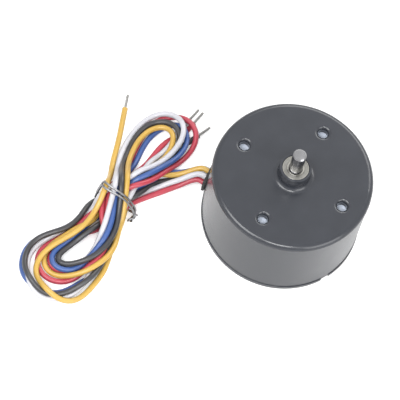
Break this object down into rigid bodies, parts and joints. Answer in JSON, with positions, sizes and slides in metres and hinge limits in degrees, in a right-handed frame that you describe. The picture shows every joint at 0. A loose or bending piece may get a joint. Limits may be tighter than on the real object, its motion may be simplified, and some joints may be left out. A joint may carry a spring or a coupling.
{
  "type": "brushless dc motor",
  "caption": "Round brushless motor in a black steel can, shaft and bearing boss at the front, threaded face holes, and a tied hank of colour-coded lead wires.",
  "frame": {"origin": "centre of the motor's flat rear face, on the shaft's axis, which is also the surface that the motor and its leads stand on", "axes": "+Z along the shaft, out of the front face; the leads leave the can towards -X; the picture looks along +Y and down"},
  "size_m": [0.0927, 0.0755, 0.0425],
  "materials": {
    "can_paint": "satin black paint",
    "cover_paint": "satin black paint",
    "screw_steel": "zinc plated",
    "grommet_rubber": "matt",
    "race_steel": "ground",
    "shield_steel": "satin",
    "ball_steel": "polished",
    "cage_brass": "pressed",
    "spring_steel": "bright",
    "lamination_steel": "punched",
    "nylon": "moulded",
    "copper_wire": "enamelled copper",
    "board_laminate": "solder mask",
    "chip_plastic": "moulded",
    "capacitor_can": "bright",
    "ceramic": "fired",
    "pin_brass": "turned",
    "lead_insulation": "extruded PVC",
    "solder": "soldered",
    "shaft_steel": "ground",
    "rotor_steel": "punched",
    "magnet": "sintered ferrite",
    "wire_red": "extruded PVC",
    "wire_black": "extruded PVC",
    "wire_white": "extruded PVC",
    "wire_blue": "extruded PVC",
    "wire_yellow": "extruded PVC",
    "tinned_copper": "tinned strands",
    "tie_wire": "bright drawn wire"
  },
  "bodies": {
    "housing": {"can": "can_paint", "rear_cover": "cover_paint", "rear_screws": "screw_steel", "wire_grommet": "grommet_rubber", "front_bearing_outer_race": "race_steel", "front_bearing_shields": "shield_steel", "rear_bearing_outer_race": "race_steel", "rear_bearing_shields": "shield_steel", "wave_washer": "spring_steel", "stator_core": "lamination_steel", "front_insulator": "nylon", "rear_insulator": "nylon", "coils": "copper_wire", "coil_cover": "nylon", "circuit_board": "board_laminate", "driver_chip": "chip_plastic", "hall_sensors": "chip_plastic", "bulk_capacitor": "capacitor_can", "board_capacitors": "ceramic", "board_resistors": "chip_plastic", "phase_pins": "pin_brass", "inner_leads": "lead_insulation", "solder_joints": "solder", "lead_red": "wire_red", "lead_black": "wire_black", "lead_white": "wire_white", "lead_blue": "wire_blue", "lead_yellow": "wire_yellow", "hank_red": "wire_red", "hank_black": "wire_black", "hank_white": "wire_white", "hank_blue": "wire_blue", "hank_yellow": "wire_yellow", "tail_red": "wire_red", "tail_black": "wire_black", "tail_yellow": "wire_yellow", "bare_end_red": "tinned_copper", "bare_end_black": "tinned_copper", "bare_end_white": "tinned_copper", "bare_end_blue": "tinned_copper", "bare_end_yellow": "tinned_copper", "twist_tie": "tie_wire"},
    "rotor": {"shaft": "shaft_steel", "rotor_core": "rotor_steel", "rotor_magnets": "magnet", "front_spacer": "pin_brass", "rear_spacer": "pin_brass", "front_bearing_inner_race": "race_steel", "rear_bearing_inner_race": "race_steel"},
    "front_ball_set": {"front_bearing_balls": "ball_steel", "front_bearing_cage": "cage_brass"},
    "rear_ball_set": {"rear_bearing_balls": "ball_steel", "rear_bearing_cage": "cage_brass"}
  },
  "joints": [
    {"name": "rotor_spin", "type": "hinge", "parent": "housing", "child": "rotor", "pos_m": [0, 0, 0], "axis": [0, 0, 1], "continuous": true},
    {"name": "front_ball_orbit", "type": "hinge", "parent": "housing", "child": "front_ball_set", "pos_m": [0, 0, 0], "axis": [0, 0, 1], "continuous": true},
    {"name": "rear_ball_orbit", "type": "hinge", "parent": "housing", "child": "rear_ball_set", "pos_m": [0, 0, 0], "axis": [0, 0, 1], "continuous": true}
  ],
  "couplings": [
    {"joint": "front_ball_orbit", "follows": "rotor_spin", "ratio": 0.41667},
    {"joint": "rear_ball_orbit", "follows": "rotor_spin", "ratio": 0.41667}
  ]
}
